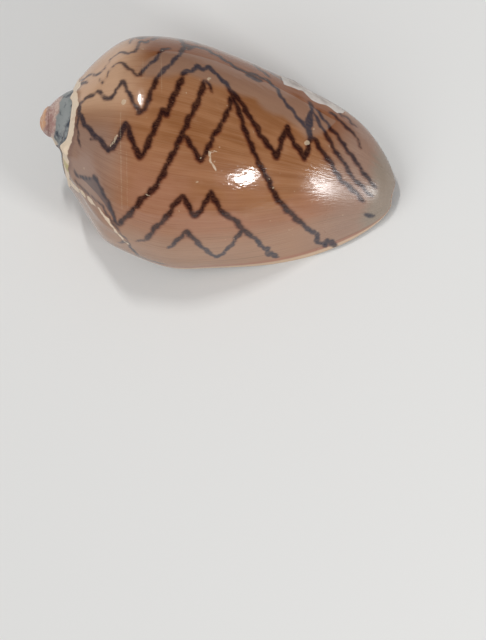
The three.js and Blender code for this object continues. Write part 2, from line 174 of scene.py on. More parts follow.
DARK_FAR = [
    (1.1, 50, -1, 52, 3.5, 55, 6, 58, 8.5, 61, 11.5, 64.5, 14.5, 67, 18, 70.5, 20.5, 75, 24, 79, 25.5, 82,
     25.5),
    (1.1, 54.5, 11.5, 56.5, 13.5, 59, 15.5, 61, 18.5, 64, 20.5, 67, 23, 70, 26, 73.5, 28, 77.5, 28),
    (1.2, 82, 25.5, 85.5, 20.5, 86.5, 17.5, 87, 13.5, 86, 10, 86, 2.5, 84, 1, 81.5, -0.5),
    (0.7, 81.5, -0.5, 79.5, -1.5, 76.5, -3, 74, -4.5, 70, -7, 66.5, -7, 62, -6.5, 59.5, -5.5, 56, -5.5, 53.5,
     -4.5, 52, -5.5, 51, -4, 50, -1),
    (0.6, 84, 1, 81.5, 1, 78.5, 3, 75, 5.5),
    (1.0, 103.5, 13, 100.5, 14, 97, 15, 96, 16.5, 93, 16, 91, 16, 90, 18.5, 88, 20.5, 86, 20, 84.5, 22.5),
    (1.5, 50, 31.5, 47.5, 29, 45, 26.5, 43, 24, 41, 21.5, 39.5, 20.5),
    (1.2, 45.5, 35, 44.5, 32, 43, 30, 41.5, 27.5, 40.5, 26, 38.5, 24.5),
    (1.3, 34, 33, 35.5, 31, 37, 28, 38, 25.5, 38.5, 23),
    (1.5, 30, 31.5, 33, 28.5, 35, 26, 37.5, 23, 39.5, 20, 41, 16.5, 42, 14, 44, 11.5, 45, 9, 47.5, 6.5, 49,
     4, 50, 0.5, 48, -2, 45.5, -4.5, 44, -6, 42, -7.5, 40.5, -8.5),
    (3.2, 39, 25, 39.6, 22),
    (1.7, 56, 13.5, 54.5, 14.5, 51, 15.5, 45.5, 16.5, 41, 18),
    (0.9, 54.5, 12.5, 53.5, 10.5, 54.5, 8.5, 54.5, 6),
    (1.4, 50, 13.5, 49, 11, 47.5, 9, 46, 8.5),
    (1.9, 43.5, 15.5, 45, 13, 43.5, 12),
    (0.7, 40.5, -8.5, 39.5, -10.5, 37, -10.5, 35.5, -9, 34.5, -6, 33, -3.5, 32.5, -1),
    (0.7, 41, -7.5, 39, -5, 37.5, -4.5, 36, -6.5, 35, -8.5),
    (0.9, 30, 31.5, 29, 30, 27.5, 27.5, 26, 24.5, 24.5, 21.5, 23, 18.5, 22, 15.5, 19.5, 17, 18.5, 18, 17, 16,
     15.5, 14, 13.5, 11.5, 12.5, 10.5),
    (1.8, 21.8, 16, 19.5, 18, 18, 19),
    (0.6, 23.5, 1.5, 22, -1),
    (0.7, 15, 3, 14, 0.5, 14.5, -2),
]
PALE_ABOVE = [
    (0.9, 61.3, 0.4, 62.5, -2.5, 64, -4.5, 65.3, -6),
    (0.6, 61.5, 0, 63.5, 0.8, 66, 2),
    (0.9, 26.5, -5, 27.5, -2.5, 28.5, 0),
    (1.6, 28, 11.3, 28, 11.9),
    (1.1, 56, 25.6, 56.3, 26.2),
    (1.7, 94.8, 10.4, 95.4, 10.7),
]
CRUST_ABOVE = [
    (2.6, 14.3, -20, 17, -21.8, 18.5, -22.4),
    (1.5, 18.5, -22.4, 21.5, -24, 25, -26.4, 28, -28.6, 30.5, -30.8, 33, -32.8),
    (0.7, 33, -32.8, 36, -35.6, 40, -38),
]
PALE_FAR = [
    (0.9, 56, -13, 53.5, -15.5, 51, -16.5, 45.5, -16.5, 39.5, -15.5, 35.5, -14, 32.5, -12.5),
]
# Upper edge of the slate callus, and a painted reflection of a light panel, both seen from the far side
CALLUS_EDGE = [
    9.5, 5, 11, 0, 13.5, -4, 18, -3, 22.5, -4.5, 26.5, -7, 31, -8.5, 35.5, -10.5, 39.5, -12.5, 44, -13.5, 48,
    -13, 52.5, -11, 57, -9, 61, -8, 70, -7.5, 76.5, -3.5, 82, -1, 86, 2.5, 89.5, 3.5, 94, 2.5
]
FAR_PAINTED_REFLECTION = [
    104, 12, 84, 26, 66.5, 26, 61, 28, 52.5, 30.5, 44, 33, 32.5, 34, 26, 30, 20, 21, 15, 15, 17, 12, 24, 15,
    28, 22, 35, 27, 40, 20, 44, 21.5, 56, 18, 60, 15, 68, 8, 84, 6, 97, 9
]
# Shapes seen from above: a greyish painted reflection of a light panel, a whitish painted reflection along
# the far edge, and the grey wedge at the shoulder
PAINTED_REFLECTION = [
    30, 24, 34, 29, 39.5, 32.5, 44.5, 33, 51.5, 33, 57.5, 32.5, 63, 31.5, 67, 30.5, 74, 28.7, 79.5, 28, 86.5,
    26, 91.5, 24.5, 94.5, 23.5, 98, 22, 104, 20, 100, 14, 95, 11, 90.5, 14.5, 85, 17.5, 81.5, 17.5, 78, 18.5,
    75, 20.5, 74, 22, 69, 22, 62, 23.5, 57, 23.5, 52, 25, 47, 25.5, 43, 23.5, 38, 22, 34, 21
]
PAINTED_GLARE = [
    80.8, 32.5, 84, 32.5, 88.5, 32, 93, 30.5, 97.5, 29, 101.5, 27.3, 106.5, 24.7, 105.8, 23.2, 103.5, 22.8,
    101.4, 24, 99.1, 24.9, 96.8, 24.8, 94, 25.5, 91.7, 27, 90.1, 28.2, 88.4, 28.2, 85.5, 28.8, 83, 29, 82,
    30.5
]
WEDGE = [
    16.5, -16.5, 20, -17.5, 23.5, -16.2, 25, -18.5, 27, -21.5, 31, -26, 34.5, -31.5, 31.5, -28.8, 29, -26,
    26, -23, 22.5, -20.5, 20, -19
]


def smooth(start, end, x):
    """0 before start, 1 after end, and 3 t^2 - 2 t^3 between them."""
    t = np.clip((x - start) / (end - start), 0, 1)
    return t * t * (3 - 2 * t)


def bell(x):
    """exp(-x^2)."""
    return np.exp(-x * x)


def spline_weights(knots, at):
    """Rows of weights: a row times the values at the knots is their natural cubic spline at one of `at`.

    The curve's second derivatives at the knots solve a tridiagonal system in the values, and between two
    knots the curve is u y0 + v y1 + ((u^3 - u) bend0 + (v^3 - v) bend1) h^2 / 6, with u + v = 1.
    """
    knots, at = np.asarray(knots, float), np.asarray(at, float)
    n, step = len(knots), np.diff(knots)
    inner = np.arange(1, n - 1)
    stiff, slopes = np.eye(n), np.zeros((n, n))
    stiff[inner, inner - 1], stiff[inner, inner] = step[:-1], 2 * (step[:-1] + step[1:])
    stiff[inner, inner + 1] = step[1:]
    slopes[inner, inner - 1], slopes[inner, inner + 1] = 6 / step[:-1], 6 / step[1:]
    slopes[inner, inner] = -6 / step[:-1] - 6 / step[1:]
    bend = np.linalg.solve(stiff, slopes)
    i = np.clip(np.searchsorted(knots, at) - 1, 0, n - 2)
    u = (knots[i + 1] - at) / step[i]
    v, area = 1 - u, step[i] ** 2 / 6
    weights = ((u**3 - u) * area)[:, None] * bend[i] + ((v**3 - v) * area)[:, None] * bend[i + 1]
    rows = np.arange(len(at))
    weights[rows, i] += u
    weights[rows, i + 1] += v
    return weights


TURNS = np.array(sorted(OUTLINES), float)
POINTS = np.array([OUTLINES[t] for t in sorted(OUTLINES)], float)


def outline(turn, place):
    """Along and radius for each turn (rows) and each place (columns), without the relief.

    Each of the twelve outline points moves on a spline over the turns, from BULK on as 1 / r^2, and a
    spline over the places joins them. Growth after the lip keeps the lip's outline.
    """
    over_turns = spline_weights(TURNS, np.minimum(turn, 0))
    along = over_turns @ POINTS[:, :, 0]
    plain = over_turns @ POINTS[:, :BULK, 1]
    oval = 1 / np.sqrt(np.maximum(over_turns @ POINTS[:, BULK:, 1] ** -2.0, 1e-4))
    end = np.ones((len(turn), 1))
    over_places = spline_weights(np.arange(LAST + 1), place).T
    return (np.hstack([along, end * FRONT[0]]) @ over_places,
            np.hstack([plain, oval, end * FRONT[1]]) @ over_places)


def ridge_along(turn):
    """Where the ridge round the front end's scar lies, a spline through FASCIOLE."""
    knots, values = zip(*FASCIOLE)
    return (spline_weights(knots, np.ravel(turn)) @ values).reshape(np.shape(turn))


def lumps(turn, what):
    """The suture's laps (2) or heights (3) at a turn, a bell for each of the LUMPS."""
    return sum(lump[what] * bell((turn - lump[0]) / lump[1]) for lump in LUMPS)


def relief(turn, place, along):
    """Height above the plain outline: the welt at the suture, the healed lip, the front ridge and the folds
    on the columella, each a bell across its own path."""
    crest = (0.8 * bell((place - 0.9) / 0.5) * smooth(-1.4, -1, turn)
             * (0.7 + 0.3 * np.cos(40 * np.pi * turn))) + lumps(turn, 3) * bell((place - 0.5) / 0.5)
    scar = (0.8 * bell((turn - SCAR_TURN) / 0.014) * smooth(14, 16, along) * smooth(42, 34, along))
    ridge = (1.2 * bell((along - ridge_along(turn)) / 3.8) * smooth(-0.3, -0.66, turn)
             * smooth(-1, -0.85, turn))
    folds = sum(2.2 * (1 - 0.12 * i) * bell((along - (64 + 10.5 * i + 46 * (turn + 1))) / 3)
                for i in range(4))
    return crest + scar + ridge + folds * smooth(-0.88, -0.97, turn) * smooth(-1.9, -1.5, turn)


def surface(turn, place):
    """Along and radius with the relief, for each turn (rows) and place (columns)."""
    along, radius = outline(turn, place)
    grown = np.minimum(turn, 0)[:, None]
    along = along - lumps(grown, 2) * smooth(2.5, 0, place)
    along = along - lumps(grown + 1, 2) * smooth(2.6, 4, place) * smooth(5, 4, place)
    fade = smooth(LAST, LAST - 1, place) * smooth(0, 0.25, place)
    return along, radius + fade * relief(grown, place[None, :], along)


def radius_at(turn, along):
    """Radius of the outside at a turn and a distance along the axis, read off 241 points of its outline."""
    turn, along = np.broadcast_arrays(turn, along)
    a, r = surface(turn.ravel(), np.linspace(0, LAST, 241))
    want = along.ravel()[:, None]
    i = np.clip((a < want).sum(1), 1, 240)
    rows = np.arange(len(a))
    a0, a1, r0, r1 = a[rows, i - 1], a[rows, i], r[rows, i - 1], r[rows, i]
    share = np.clip((want[:, 0] - a0) / np.maximum(a1 - a0, 1e-6), 0, 1)
    return (r0 + (r1 - r0) * share).reshape(turn.shape)


def lip_lead(turn, along):
    """How far, in turns, the growth lines run ahead of a straight one: behind at the suture, ahead below
    the shoulder, and only near the lip."""
    lead = 0.02 * smooth(18, 50, along) - 0.012 * smooth(24, 14, along) - 0.02 * smooth(95, 122, along)
    return lead * smooth(-0.3, 0, turn)


def placed(turn, along, radius):
    """Position in millimetres before the shell is laid down: X is along, and the angle is the growth."""
    angle = 2 * np.pi * (turn + lip_lead(turn, along))
    return np.stack([along + 0 * angle, -radius * np.cos(angle), -radius * np.sin(angle)], -1)


def growth_steps(per_turn, edge):
    """Growths in one turn up to a whorl's end, closer together where the lip is rounded over."""
    even = np.linspace(0, 1, per_turn + 1)[1:-1]
    rounded = 1 - edge * np.array([1, 0.8, 0.6, 0.42, 0.26, 0.12, 0.03, 0])
    return np.concatenate([even[even < 1 - edge * 1.2], rounded])


def lip_rounding(turn):
    """How far the lip's rounded edge stands in from the wall's two faces: a quarter circle of 0.9 mm."""
    t = np.clip(1 + turn / LIP_EDGE, 0, 1)
    return 0.9 * (1 - np.sqrt(np.maximum(1 - t * t, 0)))


def keep_real(faces):
    """Triangles whose three corners differ."""
    a, b, c = faces.T
    return faces[(a != b) & (b != c) & (c != a)]


def strips(rows):
    """Two triangles between each four neighbours in a grid of vertex numbers."""
    a, b, c, d = rows[:-1, :-1], rows[1:, :-1], rows[1:, 1:], rows[:-1, 1:]
    return keep_real(np.concatenate([np.stack(three, -1).reshape(-1, 3) for three in ([a, b, c], [a, c, d])]))


def outside_grid():
    """The outside closed by a face at the lip: rows of growth by columns of place. On the spire a row ends
    at the next whorl's suture, on the last whorl it ends on the axis at the front."""
    steps = growth_steps(ROWS_PER_TURN, LIP_EDGE)
    n = len(steps)
    turn = np.concatenate([[-3.0], (-3 + np.arange(3)[:, None] + steps[None, :]).ravel()])
    spire_places = np.concatenate([[0, 0.06], np.linspace(0, 4, 19)[1:-1], [3.94, 4]])
    bulk = [np.linspace(k, k + 1, c + 1)[1:] for k, c in zip(range(4, 12), (14, 19, 19, 21, 22, 20, 14, 9))]
    body_places = np.concatenate([spire_places, *bulk])
    s, p = len(spire_places) - 1, len(body_places) - 1

    along, radius = surface(turn, body_places)
    ends = smooth(0, 0.5, body_places) * smooth(LAST, LAST - 0.6, body_places)
    radius = radius - lip_rounding(turn)[:, None] * ends
    growth = np.broadcast_to(turn[:, None], along.shape)
    place = np.broadcast_to(body_places[None, :], along.shape)

    number = np.full(along.shape, -1)
    wanted = np.zeros(along.shape, bool)
    wanted[:, 0] = True
    wanted[: 2 * n + 1, 1:s] = True
    wanted[2 * n :, 1:p] = True
    wanted[2 * n, s] = False
    number[wanted] = np.arange(wanted.sum())
    spire = np.column_stack([number[: 2 * n + 1, :s], number[n:, 0]])
    tip, front = wanted.sum(), wanted.sum() + 1
    body = number[2 * n :].copy()
    body[0, s] = number[3 * n, 0]
    body[:, p] = front

    points = placed(growth[wanted], along[wanted], radius[wanted])
    points = np.vstack([points, [[0, 0, 0]], [[FRONT[0], 0, 0]]])
    first, lip, inner = number[: n + 1, 0], body[-1], body[0, s:]
    fan = np.column_stack([np.full(n, tip), first[1:], first[:-1]])
    start = np.column_stack([np.full(s, tip), spire[0, :-1], spire[0, 1:]])
    extra = len(lip) - len(inner)
    web = np.column_stack([lip[:extra], np.full(extra, inner[0]), lip[1 : extra + 1]])
    face = strips(np.stack([lip[extra:], inner]))
    faces = np.concatenate([strips(spire), strips(body), fan, start, keep_real(web), face])
    facts = {
        "growth": np.append(growth[wanted], [-3, 0]),
        "along": np.append(along[wanted], [0, FRONT[0]]),
        "place": np.append(place[wanted], [0, LAST]),
    }
    return points, faces, facts


def hollow_grid():
    """The space inside the last 1.3 turns as a closed tube: each ring runs over the earlier whorl with its
    glaze and back under the wall, whose thickness is measured square to its slope."""
    turn = np.concatenate([np.linspace(2 / 36, 0.004, 8), np.linspace(0.001, -LIP_EDGE, 9),
                           np.linspace(-0.012, -1.3, HOLLOW_ROWS)])
    grown = np.minimum(turn, 0)
    knots, ends = zip(*HOLLOW_END)
    end = spline_weights(knots, turn) @ ends
    wall = LIP + (WALL - LIP) * smooth(0, -0.08, grown)
    glaze = 0.05 + (GLAZE - 0.05) * smooth(0.0, -0.03, turn)

    def floor(a):
        """Radius of the earlier whorl's outside, plus the glaze on it."""
        t = turn[:, None]
        return radius_at(t + lip_lead(t, a) - 1, a) + glaze[:, None]

    def ceiling(a):
        """Radius of the outside less the wall times the root of 1 + slope^2, opened where the lip rounds."""
        g = grown[:, None]
        slope = (radius_at(g, a + 0.4) - radius_at(g, a - 0.4)) / 0.8
        opened = lip_rounding(np.minimum(turn, 0))[:, None]
        return radius_at(g, a) - wall[:, None] * np.sqrt(1 + np.minimum(slope**2, 9)) + opened

    suture = surface(grown, np.array([0.0]))[0][:, 0]
    tries = suture[:, None] + np.linspace(0, 30, 151)[None, :]
    start = tries[np.arange(len(turn)), np.argmax(ceiling(tries) - floor(tries) > 0.6, axis=1)]
    share = np.linspace(0, 1, HOLLOW_COLUMNS)
    a = start[:, None] + (end - start)[:, None] * (0.25 * (1 - np.cos(np.pi * share)) + 0.5 * share)[None, :]
    low = floor(a)
    near = np.clip((end[:, None] - a) / 7, 0, 1)
    gap = np.maximum((ceiling(a) - low) * np.sqrt(near * (2 - near)), 0.3)
    ring_a = np.hstack([a, a[:, ::-1]])
    ring_r = np.hstack([low, (low + gap)[:, ::-1]])
    ring_t = np.broadcast_to(turn[:, None], ring_a.shape)
    points = placed(ring_t, ring_a, ring_r).reshape(-1, 3)
    count = ring_a.shape[1]
    number = np.arange(ring_a.size).reshape(ring_a.shape)
    rows = np.column_stack([number, number[:, 0]])
    half = count // 2

    def cap(row):
        """Faces between the floor and the ceiling of the first or last ring."""
        return strips(np.stack([row[:half], row[half:][::-1]]))

    faces = np.concatenate([strips(rows), cap(number[0])[:, ::-1], cap(number[-1])])
    side = np.broadcast_to(np.repeat([0.0, 1.0], half)[None, :], ring_a.shape)
    facts = {
        "growth": ring_t.ravel(),
        "along": ring_a.ravel(),
        "place": np.full(ring_a.size, 8.0),
        "inside": np.full(ring_a.size, 1.0),
        "ceiling": side.ravel(),
    }
    return points, faces, facts


def notch_grid():
    """An ellipsoid: NOTCH_AT plus NOTCH_RADII times a sphere, in rings from pole to pole."""
    u, v = np.linspace(0, 2 * np.pi, 97)[:-1], np.linspace(0, np.pi, 49)[1:-1]
    ring = np.stack([np.sin(v)[:, None] * np.cos(u), np.sin(v)[:, None] * np.sin(u),
                     np.cos(v)[:, None] + 0 * u], -1).reshape(-1, 3)
    sphere = np.vstack([ring, [[0, 0, 1]], [[0, 0, -1]]])
    points = np.array(NOTCH_AT) + np.array(NOTCH_RADII) * sphere
    number = np.arange(len(ring)).reshape(len(v), len(u))
    top, bottom = len(ring), len(ring) + 1
    rows = np.vstack([np.full(len(u), top), number, np.full(len(u), bottom)])
    faces = strips(np.column_stack([rows, rows[:, 0]]))
    growth = -0.5 + np.arctan2(points[:, 2], points[:, 1]) / (2 * np.pi)
    return points, faces, {"growth": growth, "along": points[:, 0], "place": np.full(len(points), 11.5)}


def outwards(points, faces):
    """The faces, turned round if they enclose a negative volume."""
    a, b, c = points[faces[:, 0]], points[faces[:, 1]], points[faces[:, 2]]
    return faces if (a * np.cross(b, c)).sum() > 0 else faces[:, ::-1]


def lifted(along, level, seen):
    """Along and growth of the shell's points that a view shows. Seen from above, across = -radius
    cos(angle), and what lies higher by h looks 1 / (1 - h / CAMERA_HEIGHT) further from AIM. Seen from the
    far side, up = -radius sin(angle + FAR_VIEW). The unknowns depend on each other, so a few rounds settle
    them."""
    turn, at = np.full(len(along), -0.25 if seen == "above" else -0.6), along
    for _ in range(16):
        radius = radius_at(turn, at)
        if seen == "above":
            nearer = 1 + radius * np.sin(2 * np.pi * (turn + lip_lead(turn, at))) / CAMERA_HEIGHT
            at = AIM[0] + (along - AIM[0]) * nearer
            angle = -np.arccos(-np.clip((AIM[1] + (level - AIM[1]) * nearer) / radius, -1, 1))
        else:
            angle = np.arcsin(np.clip(level / radius, -1, 1)) - np.pi - math.radians(FAR_VIEW)
        turn = 0.5 * turn + 0.5 * (angle / (2 * np.pi) - lip_lead(turn, at))
    return at, turn


def pairs(numbers):
    """The two coordinates of each drawn point, one row each."""
    return np.array(numbers, float).reshape(-1, 2).T


def on_surface(lines, seen):
    """Points every SPACING of the drawn lines, lifted on the shell, with their growth and half the width. A
    line wavers a little to each side by a sum of sines of its length."""
    spots, halves = [], []
    for number, (width, *drawn) in enumerate(lines):
        drawn = pairs(drawn).T
        length = np.concatenate([[0], np.cumsum(np.hypot(*np.diff(drawn, axis=0).T))])
        fine = np.arange(0, length[-1] + 0.01, min(SPACING, length[-1]))
        waver = 0.18 * np.sin(1.3 * fine + number) + 0.08 * np.sin(2.9 * fine + 2 * number)
        straight = np.diff(drawn, axis=0)[[0, 0]] / length[-1]
        ways = np.gradient(drawn, length, axis=0) if len(drawn) > 2 else straight
        along = np.interp(fine, length, drawn[:, 0]) - waver * np.interp(fine, length, ways[:, 1])
        level = np.interp(fine, length, drawn[:, 1]) + waver * np.interp(fine, length, ways[:, 0])
        along, turn = lifted(along, level, seen)
        path = np.column_stack([placed(turn, along, radius_at(turn, along)), turn])
        run = np.concatenate([[0], np.cumsum(np.linalg.norm(np.diff(path[:, :3], axis=0), axis=1))])
        even = np.linspace(0, run[-1], max(2, int(run[-1] / SPACING)))
        spots.append(np.column_stack([np.interp(even, run, column) for column in path.T]))
        taper = np.minimum(1, 0.5 + np.minimum(even, run[-1] - even) / 3) if run[-1] > 3 else 1 + 0 * even
        swell = 1 + 0.18 * np.sin(0.9 * even + number) + 0.07 * np.sin(2.3 * even)
        halves.append(width / 2 * taper * swell)
    return np.vstack(spots), np.concatenate(halves)


def nearest_line(points, growth, *drawn):
    """Distance to the edge of the nearest drawn line, negative inside, and how much later the point grew
    than the line there, in millimetres."""
    paths = [on_surface(lines, seen) for lines, seen in drawn]
    spots, halves = np.vstack([path[0] for path in paths]), np.concatenate([path[1] for path in paths])
    distance, later = np.full(len(points), float(FAR_OFF)), np.zeros(len(points))
    for part in np.array_split(np.arange(len(points)), 80):
        across = points[part] @ spots[:, :3].T
        square = (points[part] ** 2).sum(1)[:, None] + (spots[:, :3] ** 2).sum(1)[None, :] - 2 * across
        gaps = np.sqrt(np.maximum(square, 0)) - halves
        nearest = gaps.argmin(1)
        distance[part] = gaps[np.arange(len(part)), nearest]
        later[part] = (growth[part] - spots[nearest, 3]) * MM_PER_TURN
    return np.minimum(distance, FAR_OFF), np.clip(later, -4, 4)


def depth_in(along, turn, corners, seen):
    """How deep a point lies in a shape drawn on a view, in mm, negative outside, on the shell's surface laid
    flat: along, and the growth times MM_PER_TURN."""
    at, grown = lifted(*pairs(corners), seen)
    c = np.column_stack([at, MM_PER_TURN * grown])
    p = np.column_stack([along, MM_PER_TURN * turn])[:, None]
    a, b = c[None], np.roll(c, -1, 0)[None]
    ab, ap = b - a, p - a
    t = np.clip((ap * ab).sum(-1) / (ab * ab).sum(-1), 0, 1)
    away = np.sqrt(((ap - t[..., None] * ab) ** 2).sum(-1)).min(1)
    crosses = (a[..., 1] > p[..., 1]) != (b[..., 1] > p[..., 1])
    rise = np.where(b[..., 1] == a[..., 1], 1, b[..., 1] - a[..., 1])
    left = p[..., 0] < a[..., 0] + (p[..., 1] - a[..., 1]) * ab[..., 0] / rise
    inside = (crosses & left).sum(1) % 2 == 1
    return np.clip(np.where(inside, away, -away), -FAR_OFF, FAR_OFF)


def marks(points, facts):
    """Everything that is drawn on the outside, as distances in millimetres on its points."""
    turn, along = facts["growth"], facts["along"]
    facts["across"] = points[:, 1]
    facts["line"], facts["later"] = nearest_line(points, turn, (DARK_ABOVE, "above"), (DARK_FAR, "far"))
    facts["pale"] = nearest_line(points, turn, (PALE_ABOVE, "above"), (PALE_FAR, "far"))[0]
    facts["crust"] = nearest_line(points, turn, (CRUST_ABOVE, "above"))[0]
    # The first, second and last shapes are painted reflections of a light panel; the third is the grey wedge
    for fact, corners, seen in (("painted_reflection", PAINTED_REFLECTION, "above"), ("painted_glare", PAINTED_GLARE, "above"), ("wedge", WEDGE, "above"),
                                ("far_painted_reflection", FAR_PAINTED_REFLECTION, "far")):
        facts[fact] = depth_in(along, turn, corners, seen)
    facts["callus"] = MM_PER_TURN * (np.interp(along, *lifted(*pairs(CALLUS_EDGE), "far")) - turn)
    facts["ridge"] = along - ridge_along(turn)


# What each point carries, with the value of a point that isn't given one: distances to a mark are far off
FACTS = dict.fromkeys(("growth", "along", "place", "inside", "ceiling", "later", "ridge", "across"), 0)
FACTS |= dict.fromkeys(("line", "pale", "crust"), FAR_OFF)
FACTS |= dict.fromkeys(("painted_reflection", "painted_glare", "wedge", "far_painted_reflection", "callus"), -FAR_OFF)


def part_object(name, points, faces, facts):
    """A mesh object from arrays, with each fact as a number on its points."""
    mesh = bpy.data.meshes.new(name)
    mesh.from_pydata(points.tolist(), [], outwards(points, faces).tolist())
    for fact, usual in FACTS.items():
        values = np.broadcast_to(facts.get(fact, usual), len(points)).astype(np.float32)
        mesh.attributes.new(fact, "FLOAT", "POINT").data.foreach_set("value", values)
    made = bpy.data.objects.new(name, mesh)
    bpy.context.scene.collection.objects.link(made)
    return made


def lay_down(points):
    """Millimetres to metres, with the shell on its opening: turned by ROLL about X and then by PITCH about
    Y, fitted to the CAD model's box, and worn flat where it rests. Returns the way from shell to scene."""
    pitch, roll = (Matrix.Rotation(math.radians(a), 3, way) for a, way in ((PITCH, "Y"), (ROLL, "X")))
    turned = np.array(pitch @ roll)
    there = points @ turned.T
    low, high = there.min(0), there.max(0)
    box_low, box_high = (np.array(corner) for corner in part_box("shell"))
    room = (box_high - box_low) * 1000
    scale = FIT / 1000 * min(room[0] / (high - low)[0], room[1] / (high - low)[1], 1)
    shift = (box_low + box_high) / 2 - scale * (low + high) / 2
    shift[2] = box_high[2] - scale * high[2]
    laid = there * scale + shift
    laid[:, 2] = np.maximum(laid[:, 2], 0)
    return laid, turned, scale, shift


LAYING = {}  # the way from the shell's millimetres to the scene's metres, once the shell is laid down


def colour(red, green, blue):
    """A colour given as it shows on a screen, 0 to 255, as the light values that materials use."""
    part = np.array([red, green, blue]) / 255
    light = np.where(part <= 0.04045, part / 12.92, ((part + 0.055) / 1.055) ** 2.4)
    return (*light.tolist(), 1.0)


class Wire:
    """A socket in a material, with arithmetic that adds Math nodes."""

    def __init__(self, finish, socket):
        self.finish, self.socket = finish, socket

    def maths(self, operation, *values):
        return self.finish.node("ShaderNodeMath", {"operation": operation}, dict(enumerate(values)))

    def __add__(self, other):
        return self.maths("ADD", self, other)

    def __sub__(self, other):
        return self.maths("SUBTRACT", self, other)

    def __rsub__(self, other):
        return self.maths("SUBTRACT", other, self)

    def __mul__(self, other):
        return self.maths("MULTIPLY", self, other)

    __radd__, __rmul__ = __add__, __mul__


class Finish:
    """A material being made from nodes."""

    def __init__(self, name):
        self.material = bpy.data.materials.new(name)
        self.material.use_nodes = True
        self.tree = self.material.node_tree
        self.tree.nodes.clear()

    def node(self, kind, settings=None, inputs=None, output=0):
        """A new node with its settings, its inputs linked or set, and one of its outputs as a Wire."""
        made = self.tree.nodes.new(kind)
        for key, value in (settings or {}).items():
            setattr(made, key, value)
        for key, value in (inputs or {}).items():
            if isinstance(value, Wire):
                self.tree.links.new(value.socket, made.inputs[key])
            else:
                made.inputs[key].default_value = value
        return Wire(self, made.outputs[output]) if made.outputs else None

    def fact(self, name):
        """A number that the mesh's points carry."""
        return self.node("ShaderNodeAttribute", {"attribute_name": name}, output="Fac")

    def ease(self, value, start, end):
        """0 before start, 1 after end, smooth between."""
        return self.node("ShaderNodeMapRange", {"interpolation_type": "SMOOTHSTEP"},
                         {"Value": value, "From Min": start, "From Max": end})

    def vector(self, x, y, z=0.0):
        return self.node("ShaderNodeCombineXYZ", {}, {"X": x, "Y": y, "Z": z})

    def noise(self, vector, scale=1.0, detail=2.0, roughness=0.5):
        return self.node("ShaderNodeTexNoise", {"noise_dimensions": "3D"},
                         {"Vector": vector, "Scale": scale, "Detail": detail, "Roughness": roughness})

    def mix(self, share, one, other):
        """The first colour at share 0, the other at 1."""
        return self.node("ShaderNodeMix", {"data_type": "RGBA"}, {0: share, 6: one, 7: other}, output=2)

    def most(self, one, other):
        """The greater of the two."""
        return one.maths("MAXIMUM", one, other)


